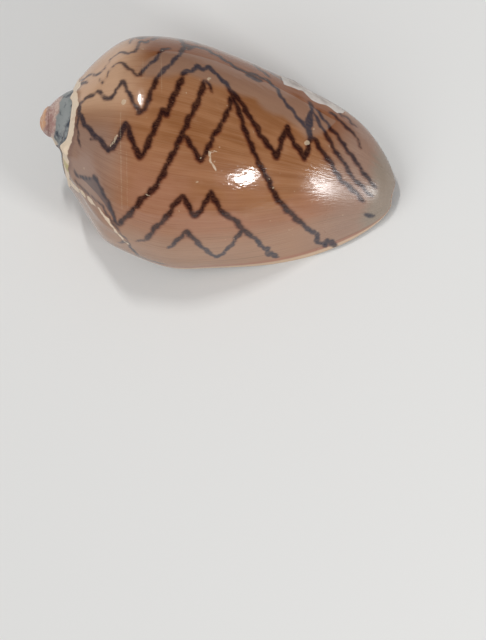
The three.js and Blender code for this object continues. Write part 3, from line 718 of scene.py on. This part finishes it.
def shell_finish(look):
    """The shell's colours by growth and distance along it, its ragged dark lines, the painted reflections and
    painted sheen over them, and the crusts, scratches and gloss."""
    f = Finish("volute_shell")
    growth, along, place = f.fact("growth"), f.fact("along"), f.fact("place")
    inside, ceiling, line, later = f.fact("inside"), f.fact("ceiling"), f.fact("line"), f.fact("later")
    at = f.node("ShaderNodeTexCoord", output="Object")
    ease, mix, most = f.ease, f.mix, f.most

    streak = f.noise(f.vector(growth * 900, along * 0.05), detail=3, roughness=0.65)
    thread = f.noise(f.vector(growth * 330, along * 0.02, 5), detail=1)
    band = f.noise(f.vector(growth * 55, along * 0.03, 4), detail=2)
    cloud = f.noise(at, scale=42, detail=3)
    blotch = f.noise(at, scale=150, detail=3, roughness=0.6)
    grain = f.noise(at, scale=1100, detail=2)
    tooth = f.noise(f.vector(growth * 170, along * 0.16, 9), detail=3, roughness=0.65)
    fleck = f.noise(f.vector(growth * 700, along * 0.6, 14), detail=2, roughness=0.7)
    ripple = f.noise(f.vector(growth * 150, along * 0.3, 20), detail=2)

    drift, patch, snag = cloud - 0.5, blotch - 0.5, tooth - 0.5
    nick, stripe = fleck - 0.5, band - 0.5

    def lay(share, over):
        """Paints a colour over what is there, by its share."""
        nonlocal paint
        paint = mix(share, paint, over)

    # Ground colours
    paint = mix(ease(band + cloud * 0.6, 0.62, 0.95), look.body, look.body_shade)
    lay(ease(growth, -0.27, -0.17) * ease(cloud, 0.3, 0.6) * 0.8, look.pink)
    # Orange-brown strip at the top of the back: its own colour, darkened further as painted shade where the
    # surface turns away
    lay(ease(growth + drift * 0.06, -0.36, -0.41) * 0.8, look.strip)
    lay(ease(growth + drift * 0.05, -0.45, -0.5) * 0.9, look.far)
    lay(ease(growth + stripe * 0.03, -0.125, -0.07) * 0.75, look.lip_growth)
    beige = ease(along + drift * 16 + ease(growth, -0.42, -0.52) * 13, 38, 22)
    # Beige near the suture on the earlier half: partly the shell's own colour, partly a painted sheen on the
    # upper left of the back
    lay(beige * ease(growth, -0.25, -0.32) * 0.9, look.shoulder)
    lay(beige * ease(growth, -0.3, -0.22) * 0.75, look.grey_shoulder)
    front_end = ease(along + drift * 12, 98, 116)
    lay(front_end * 0.8, look.front)
    lay(ease(along + stripe * 5, 117, 123) * 0.7, look.front_band)

    # Growth lines, fine and broad
    lay(ease(streak, 0.42, 0.72) * 0.22, look.streak)
    lay(ease(streak, 0.5, 0.3) * 0.28, look.streak_shade)
    lay(ease(thread, 0.62, 0.74) * ease(growth, -0.16, -0.06) * 0.5, look.thread)
    lay(ease(blotch, 0.55, 0.8) * 0.15, look.streak)

    # Painted reflection of a light panel over the back, crisp at its upper edge
    soft = ease(growth, -0.4, -0.36)
    painted_reflection = ease(f.fact("painted_reflection") + drift * 1.4 + snag * 0.6, soft * -1.2 - 0.15, soft * 2.5 + 0.15)
    painted_reflection = painted_reflection * (0.2 + 0.8 * ease(growth + drift * 0.08, -0.27, -0.36))
    painted_reflection = most(painted_reflection, ease(f.fact("far_painted_reflection") + drift * 2, -0.2, 1.6) * ease(growth, -0.45, -0.47) * 0.9)
    lay(painted_reflection * 0.6, look.painted_reflection)

    # The lip's edge
    pinkish = ease(growth, -0.021, -0.012) * ease(growth, -0.004, -0.009)
    lay(pinkish * 0.55, look.lip_line)
    lay(ease(growth, -0.012, -0.008) * 0.9, look.lip)

    # Dark lines, ragged along the growth lines, reddish on the later side
    ragged = line + snag * 1.3 + nick * 0.5
    dark = ease(ragged, 0.58, -0.4) * (0.78 + 0.22 * ease(fleck + tooth, 0.8, 1.1))
    fringe = ease(ragged, 1.2, 0) * (0.45 + 0.55 * ease(later, -0.3, 0.7))
    # Dark lines turn grey under the painted reflection and the painted sheen, near the lip and at the front
    # end
    greyed = most(most(painted_reflection, beige * 0.75), ease(growth, -0.115, -0.07))
    greyed = most(greyed, ease(along, 99, 112) * 0.45)
    lay(fringe * (1 - greyed) * 0.7, look.fringe)
    lay(dark * 0.95, mix(greyed * 0.85, look.line, look.greyed_line))
    wedge = ease(f.fact("wedge") + snag * 1.5, -0.2, 0.4)
    lay(wedge * 0.6, look.greyed_line)

    # Pale scratches and crumbs, and a whitish painted reflection of a light panel along the far edge
    pale = ease(f.fact("pale") + patch + nick * 0.4, 0.12, -0.12)
    lay(pale * 0.62, look.pale)
    across = f.fact("across")
    for offset, low, high, thin in ((30.2, -27, 7, 0.2), (32.3, -26, -6, 0.12), (44.9, 16, 29, 0.13),
                                    (38.2, 19, 27, 0.12)):
        aside = along + across * 0.212 - offset + drift * 1.2
        scratch = ease(aside.maths("ABSOLUTE", aside), thin * 1.6, thin * 0.4)
        scratch = scratch * ease(across, low - 1, low + 2) * ease(across, high + 1, high - 2)
        scratch = scratch * ease(growth, -0.5, -0.45) * ease(streak, 0.35, 0.6)
        lay(scratch * 0.2, look.pale)
    specks = ease(f.noise(at, scale=520, detail=1), 0.73, 0.77) * ease(blotch, 0.5, 0.62)
    lay(specks * 0.5, look.pale)
    # A whitish painted reflection of a light panel along the far edge, also made rougher and raised a little
    painted_glare = ease(f.fact("painted_glare") + patch * 1.4, -0.1, 0.15) * ease(growth, -0.505, -0.49)
    lay(painted_glare * 0.9, mix(ease(blotch, 0.4, 0.7), look.painted_glare, look.painted_glare_grey))

    # The earlier whorls
    spire = ease(growth, -1, -1.008)
    mottle = f.noise(at, scale=210, detail=5, roughness=0.6)
    fuzz = mottle - 0.5
    slate = mix(ease(mottle + ease(growth, -1.13, -1.2) * 0.1, 0.46, 0.66), look.slate, look.slate_pale)
    lay(spire, slate)
    bud = spire * ease(along + fuzz * 4, 6.9, 5.8)
    tip = mix(ease(blotch + grain * 0.5, 0.6, 0.95), look.bud, look.bud_pale)
    tip = mix(ease(along + fuzz * 5, 2.6, 1.2), tip, look.tip)
    lay(bud, tip)

    # The creamy welt at the suture, a painted shadow along its foot, and the crust on the healed lip
    wave = f.noise(f.vector(growth * 24, 0, 7), detail=2)
    beside = place + (wave - 0.5) * 1.9 + nick * 0.15
    latest = ease(growth, -1.12, -1.02)
    # A greyish painted shadow along the foot of the welt
    lay(ease(beside, 1.15, 1.35) * ease(beside, 1.9, 1.45) * latest * 0.4, look.welt_foot_shadow)
    welt = ease(beside, 1.32, 1.18) * latest
    yellow = ease(growth + drift * 0.02, -0.12, -0.108) * ease(growth, -0.078, -0.092)
    cream = mix(yellow * 0.85, look.welt, look.crust)
    cream = mix(ease(blotch, 0.55, 0.8) * 0.5, cream, look.welt_shade)
    lay(welt, cream)
    crust = ease(f.fact("crust") + patch * 2.6 + nick * 0.8, 0.15, -0.2)
    lay(crust * 0.9, mix(ease(cloud, 0.36, 0.5), look.crust, look.welt))

    # The glaze beside the opening, and the opening
    callus = f.fact("callus") + drift * 9 + patch * 3
    outer = ease(growth, -1.004, -0.998) * (1 - welt) * ease(along + drift * 12, 98, 90)
    rim = ease(callus, -0.5, 0.8) * ease(callus, 9, 3)
    slick = mix(ease(band * 0.5 + mottle, 0.6, 0.95), look.callus, look.callus_pale)
    slick = mix(rim * ease(mottle, 0.4, 0.6) * 0.85, slick, look.callus_edge)
    slick = mix(ease(growth + drift * 0.08, -0.86, -0.93), slick, look.columella)
    callus = ease(callus, -0.4, 0.5) * outer
    lay(callus * 0.9, slick)
    lay(ease(f.fact("pale") + patch, 0.2, -0.1) * callus * 0.7, look.pale)

    # The front ridge and the canal beyond it
    ridge, behind = f.fact("ridge"), ease(growth, -0.485, -0.52) * ease(growth, -1.004, -0.998)
    arcs = f.noise(f.vector(growth * 60 + (along - 118) * (along - 118) * 0.02, along * 0.35, 3), detail=3)
    canal = mix(ease(arcs, 0.35, 0.7), look.canal_shade, look.canal)
    canal = mix(ease(ridge, 7, 11), look.canal_blue, canal)
    lay(ease(ridge + fuzz * 2, 2.6, 3.6) * behind * 0.85, canal)
    spots = ease(f.noise(f.vector(growth * 70, ridge * 0.16, 6), detail=2), 0.52, 0.6)
    on_ridge = ease(ridge, -3.6, -2.6) * ease(ridge, 3.8, 2.8) * behind
    lay(on_ridge * 0.8, mix(spots, look.ridge, look.ridge_spots))
    within = mix(ease(growth, -0.03, -0.45), look.mouth, look.deep)
    within = mix(ease(ceiling, 0.6, 0.4) * 0.5, within, look.columella)
    within = mix(ease(streak, 0.45, 0.7) * 0.15, within, look.pale)
    within = mix(ease(growth, -0.014, -0.006) * 0.8, within, look.lip)
    lay(ease(inside, 0.3, 0.7), within)

    dull = most(welt, crust) * 0.3 + painted_glare * 0.25 + spire * 0.15 + pale * 0.2
    dull = dull + ease(along, 88, 114) * ease(growth, -0.46, -0.34) * 0.2
    rough = 0.05 + grain * 0.05 + blotch * 0.06 + dull
    height = (streak * 0.15 + thread * 0.2 + blotch * 0.5 + ripple * 1.2) * (1 - welt)
    height = height + most(welt, crust) * (grain + blotch) * 2.0
    height = height + painted_glare * 1.5 + pale - dark * 0.3
    bump = f.node("ShaderNodeBump", {}, {"Strength": 0.4, "Distance": 0.00015, "Height": height})
    shader = f.node("ShaderNodeBsdfPrincipled", {}, {
        "Base Color": paint, "Roughness": rough, "Normal": bump, "IOR": 1.55})
    f.node("ShaderNodeOutputMaterial", {}, {"Surface": shader})
    return f.material


def floor_finish(look):
    """A plain pale matt floor."""
    f = Finish("plain_floor")
    shader = f.node("ShaderNodeBsdfPrincipled", {}, {"Base Color": look.floor, "Roughness": 0.85})
    f.node("ShaderNodeOutputMaterial", {}, {"Surface": shader})
    return f.material


def tint(name, description, *rgb):
    """A colour property of the look."""
    return bpy.props.FloatVectorProperty(name=name, description=description, default=colour(*rgb),
                                         subtype="COLOR", size=4, min=0, max=1)


def amount(name, description, default, unit, **more):
    """A number of the look, in its unit."""
    return bpy.props.FloatProperty(name=name, description=description, default=default, unit=unit, **more)


class VoluteLook(bpy.types.PropertyGroup):
    """Colours of the shell."""

    body: tint("Body", "Ground colour of the last whorl", 160, 110, 74)
    body_shade: tint("Body bands", "Browner bands of growth on the last whorl", 142, 92, 56)
    pink: tint("Lower back", "Pinkish ground on the later half of the back", 168, 118, 92)
    # Orange-brown ground, darkened further as painted shade
    strip: tint("Bare strip", "Orange brown strip above the glaze", 136, 78, 44)
    far: tint("Far side", "Orange tan of the far side", 184, 132, 90)
    streak: tint("Streaks", "Fine pale growth lines", 186, 148, 118)
    streak_shade: tint("Dark streaks", "Fine dark growth lines", 122, 78, 52)
    thread: tint("Threads", "Greenish grey growth lines near the lip", 118, 100, 78)
    lip_growth: tint("Near the lip", "Pinkish tan near the lip", 168, 134, 110)
    lip_line: tint("Lip line", "Reddish line before the lip's edge", 166, 110, 92)
    lip: tint("Lip", "Peach edge of the lip", 206, 178, 150)
    # Partly the shell's own beige, partly a painted sheen
    shoulder: tint("Shoulder", "Beige ground near the suture, earlier half", 214, 174, 142)
    grey_shoulder: tint("Grey shoulder", "Greyish ground near the suture, later half", 160, 134, 120)
    front: tint("Front end", "Greyish pink front end", 156, 130, 116)
    front_band: tint("Front band", "Grey green band round the front end", 142, 136, 124)
    # Painted reflection of a light panel, laid as a greyish sheet over the back
    painted_reflection: tint("Glaze", "Thin greyish glaze on the back", 158, 128, 110)
    line: tint("Lines", "Dark lines", 36, 14, 16)
    # Grey of the dark lines under the painted reflection and painted sheen, also used for the grey wedge
    greyed_line: tint("Glazed lines", "Dark lines under the glaze", 60, 60, 70)
    fringe: tint("Line fringe", "Reddish edge of the dark lines", 100, 42, 26)
    pale: tint("Scratches", "Pale scratches and crumbs", 212, 190, 160)
    # Whitish painted reflection of a light panel along the far edge, and its greyer parts
    painted_glare: tint("Chip", "Whitish chip", 224, 216, 208)
    painted_glare_grey: tint("Chip, grey", "Greyer parts of the chip", 170, 158, 150)
    slate: tint("Spire", "Slate whorl before the last", 42, 52, 66)
    slate_pale: tint("Spire, pale", "Paler mottling of that whorl", 142, 146, 144)
    bud: tint("First whorls", "Purplish first whorls", 170, 130, 122)
    bud_pale: tint("First whorls, pale", "Paler mottling of the first whorls", 210, 184, 168)
    tip: tint("Tip", "Worn tip", 214, 164, 126)
    welt: tint("Welt", "Creamy welt at the suture", 232, 210, 184)
    welt_shade: tint("Welt, peach", "Peach parts of the welt", 206, 164, 134)
    crust: tint("Crust", "Yellowish crust on the healed lip", 186, 172, 112)
    # Painted shadow along the foot of the welt
    welt_foot_shadow: tint("Groove", "Greyish line beside the welt", 112, 88, 84)
    callus: tint("Callus", "Slate glaze beside the opening", 78, 86, 92)
    callus_edge: tint("Callus, dark", "Dark blotches along its edge", 34, 36, 46)
    callus_pale: tint("Callus, pale", "Paler parts of that glaze", 138, 142, 136)
    canal: tint("Canal", "Lilac grey front canal", 176, 166, 160)
    canal_shade: tint("Canal, shade", "Growth lines on the canal", 152, 145, 143)
    canal_blue: tint("Canal, blue", "Bluish strip beside the front ridge", 126, 132, 132)
    ridge: tint("Front ridge", "Reddish front ridge", 166, 120, 104)
    ridge_spots: tint("Front ridge, spots", "Dark red spots on the front ridge", 104, 46, 34)
    mouth: tint("Opening", "Wall just inside the lip", 222, 182, 144)
    deep: tint("Deep inside", "Wall deep inside", 168, 96, 60)
    columella: tint("Columella", "Inner side of the opening", 220, 158, 112)
    floor: tint("Floor", "Floor under the shell", 232, 231, 228)


class VoluteStudio(bpy.types.PropertyGroup):
    """Camera and lights."""

    camera_distance: amount("Camera distance", "From the camera to the shell's axis", CAMERA_HEIGHT / 1000,
                            "LENGTH", min=0.3, subtype="DISTANCE")
    key_power: amount("Main light", "Power of the small soft light", 3.4, "POWER", min=0)
    fill_power: amount("Overhead light", "Power of the wide overhead light", 8.5, "POWER", min=0)


class VOLUTE_OT_shell(bpy.types.Operator):
    """Build the shell with its markings"""

    bl_idname = "volute.shell"
    bl_label = "Shell"

    def execute(self, context):
        points, faces, facts = outside_grid()
        marks(points, facts)
        whole = part_object("whole", points, faces, facts)
        cutters = [part_object("hollow_cut", *hollow_grid()), part_object("notch_cut", *notch_grid())]
        for cutter in cutters:
            cut = whole.modifiers.new(cutter.name, "BOOLEAN")
            cut.operation, cut.solver, cut.object = "DIFFERENCE", "MANIFOLD", cutter
        graph = context.evaluated_depsgraph_get()
        mesh = bpy.data.meshes.new_from_object(whole.evaluated_get(graph))
        within = np.empty(len(mesh.vertices), np.float32)
        mesh.attributes["inside"].data.foreach_get("value", within)
        if len(within) < FEWEST_POINTS or within.max() < 0.5:
            raise RuntimeError("the shell's hollow couldn't be cut")
        for spare in (whole, *cutters):
            left = spare.data
            bpy.data.objects.remove(spare)
            bpy.data.meshes.remove(left)
        place = np.empty(3 * len(mesh.vertices), np.float32)
        mesh.vertices.foreach_get("co", place)
        laid, turned, scale, shift = lay_down(place.reshape(-1, 3).astype(float))
        LAYING.update(turned=turned, scale=scale, shift=shift)
        mesh.vertices.foreach_set("co", laid.ravel().astype(np.float32))
        mesh.name = "volute_shell"
        mesh.materials.clear()
        mesh.materials.append(shell_finish(context.scene.volute_look))
        shell = bpy.data.objects.new("volute_shell", mesh)
        context.scene.collection.objects.link(shell)
        mesh.polygons.foreach_set("use_smooth", np.ones(len(mesh.polygons), bool))
        context.view_layer.objects.active = shell
        shell.select_set(True)
        bpy.ops.object.shade_smooth_by_angle(angle=math.radians(SMOOTH_ANGLE))
        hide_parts("shell")
        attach(shell, "root")
        return {"FINISHED"}


def in_scene(point):
    """A place given in the shell's own millimetres, in the scene's metres."""
    return Vector(LAYING["turned"] @ np.array(point, float) * LAYING["scale"] + LAYING["shift"])


def direction(*way):
    """A direction given in the shell's own frame, in the scene's."""
    return Vector(LAYING["turned"] @ np.array(way, float)).normalized()


def soft_light(name, way, distance, size, power):
    """An oblong light that faces the shell's middle from the given way and distance."""
    data = bpy.data.lights.new(name, "AREA")
    data.shape, data.size, data.size_y, data.energy = "RECTANGLE", size[0], size[1], power
    lamp = bpy.data.objects.new(name, data)
    way = way.normalized()
    lamp.location = in_scene((60, 0, 20)) + way * distance
    lamp.rotation_euler = (-way).to_track_quat("-Z", "Y").to_euler()
    bpy.context.scene.collection.objects.link(lamp)
    return lamp


class VOLUTE_OT_stage(bpy.types.Operator):
    """Make the floor, the lights and the camera"""

    bl_idname = "volute.stage"
    bl_label = "Stage"

    def execute(self, context):
        scene, studio = context.scene, context.scene.volute_studio
        mesh = bpy.data.meshes.new("floor")
        corners = [(x * FLOOR_REACH, y * FLOOR_REACH, 0) for x, y in ((-1, -1), (1, -1), (1, 1), (-1, 1))]
        mesh.from_pydata(corners, [], [(0, 1, 2, 3)])
        mesh.materials.append(floor_finish(scene.volute_look))
        floor = bpy.data.objects.new("floor", mesh)
        scene.collection.objects.link(floor)

        # The camera looks square at the shell's back, its axis pointing right and a little down
        tilt = math.radians(CAMERA_TILT)
        view, up = direction(0, 0, 1), direction(-math.sin(tilt), math.cos(tilt), 0)
        right = up.cross(view)
        data = bpy.data.cameras.new("camera")
        data.sensor_fit, data.sensor_width = "AUTO", 36.0
        data.lens = LENS_PER_METRE * studio.camera_distance
        data.clip_start, data.clip_end = 0.05, 50
        camera = bpy.data.objects.new("camera", data)
        facing = Matrix((right, up, view)).transposed().to_4x4()
        camera.matrix_world = Matrix.Translation(in_scene((*AIM, 0)) + view * studio.camera_distance) @ facing
        scene.collection.objects.link(camera)
        scene.camera = camera

        key, fill = studio.key_power, studio.fill_power
        soft_light("main_light", view + 0.95 * right - 0.6 * up, 0.9, (0.18, 0.055), key)
        soft_light("side_light", view - 0.33 * right + 0.88 * up, 0.9, (0.03, 0.15), key * 0.6)
        overhead = soft_light("overhead_light", view - right - 0.15 * up, 1.5, (1.4, 1.4), fill)
        overhead.visible_glossy = False
        world = bpy.data.worlds.new("studio")
        world.use_nodes = True
        background = world.node_tree.nodes["Background"].inputs
        background["Color"].default_value, background["Strength"].default_value = colour(236, 238, 242), 0.36
        scene.world = world
        world.cycles_visibility.glossy = False
        scene.view_settings.view_transform = "Standard"
        return {"FINISHED"}


class VOLUTE_PT_sidebar(bpy.types.Panel):
    """Sidebar panel with the pieces and their looks"""

    bl_label = "Noble volute"
    bl_idname = "VOLUTE_PT_sidebar"
    bl_space_type = "VIEW_3D"
    bl_region_type = "UI"
    bl_category = "Shell"

    def draw(self, context):
        for operator in (VOLUTE_OT_shell, VOLUTE_OT_stage):
            self.layout.operator(operator.bl_idname)
        for group in (context.scene.volute_look, context.scene.volute_studio):
            for name in group.bl_rna.properties.keys():
                if name not in ("rna_type", "name"):
                    self.layout.prop(group, name)


CLASSES = (VoluteLook, VoluteStudio, VOLUTE_OT_shell, VOLUTE_OT_stage, VOLUTE_PT_sidebar)


def register():
    for kind in CLASSES:
        bpy.utils.register_class(kind)
    bpy.types.Scene.volute_look = bpy.props.PointerProperty(type=VoluteLook)
    bpy.types.Scene.volute_studio = bpy.props.PointerProperty(type=VoluteStudio)


def unregister():
    del bpy.types.Scene.volute_look, bpy.types.Scene.volute_studio
    for kind in reversed(CLASSES):
        bpy.utils.unregister_class(kind)


def main():
    """Build everything."""
    register()
    bpy.ops.volute.shell()
    bpy.ops.volute.stage()


if __name__ == "__main__":
    main()
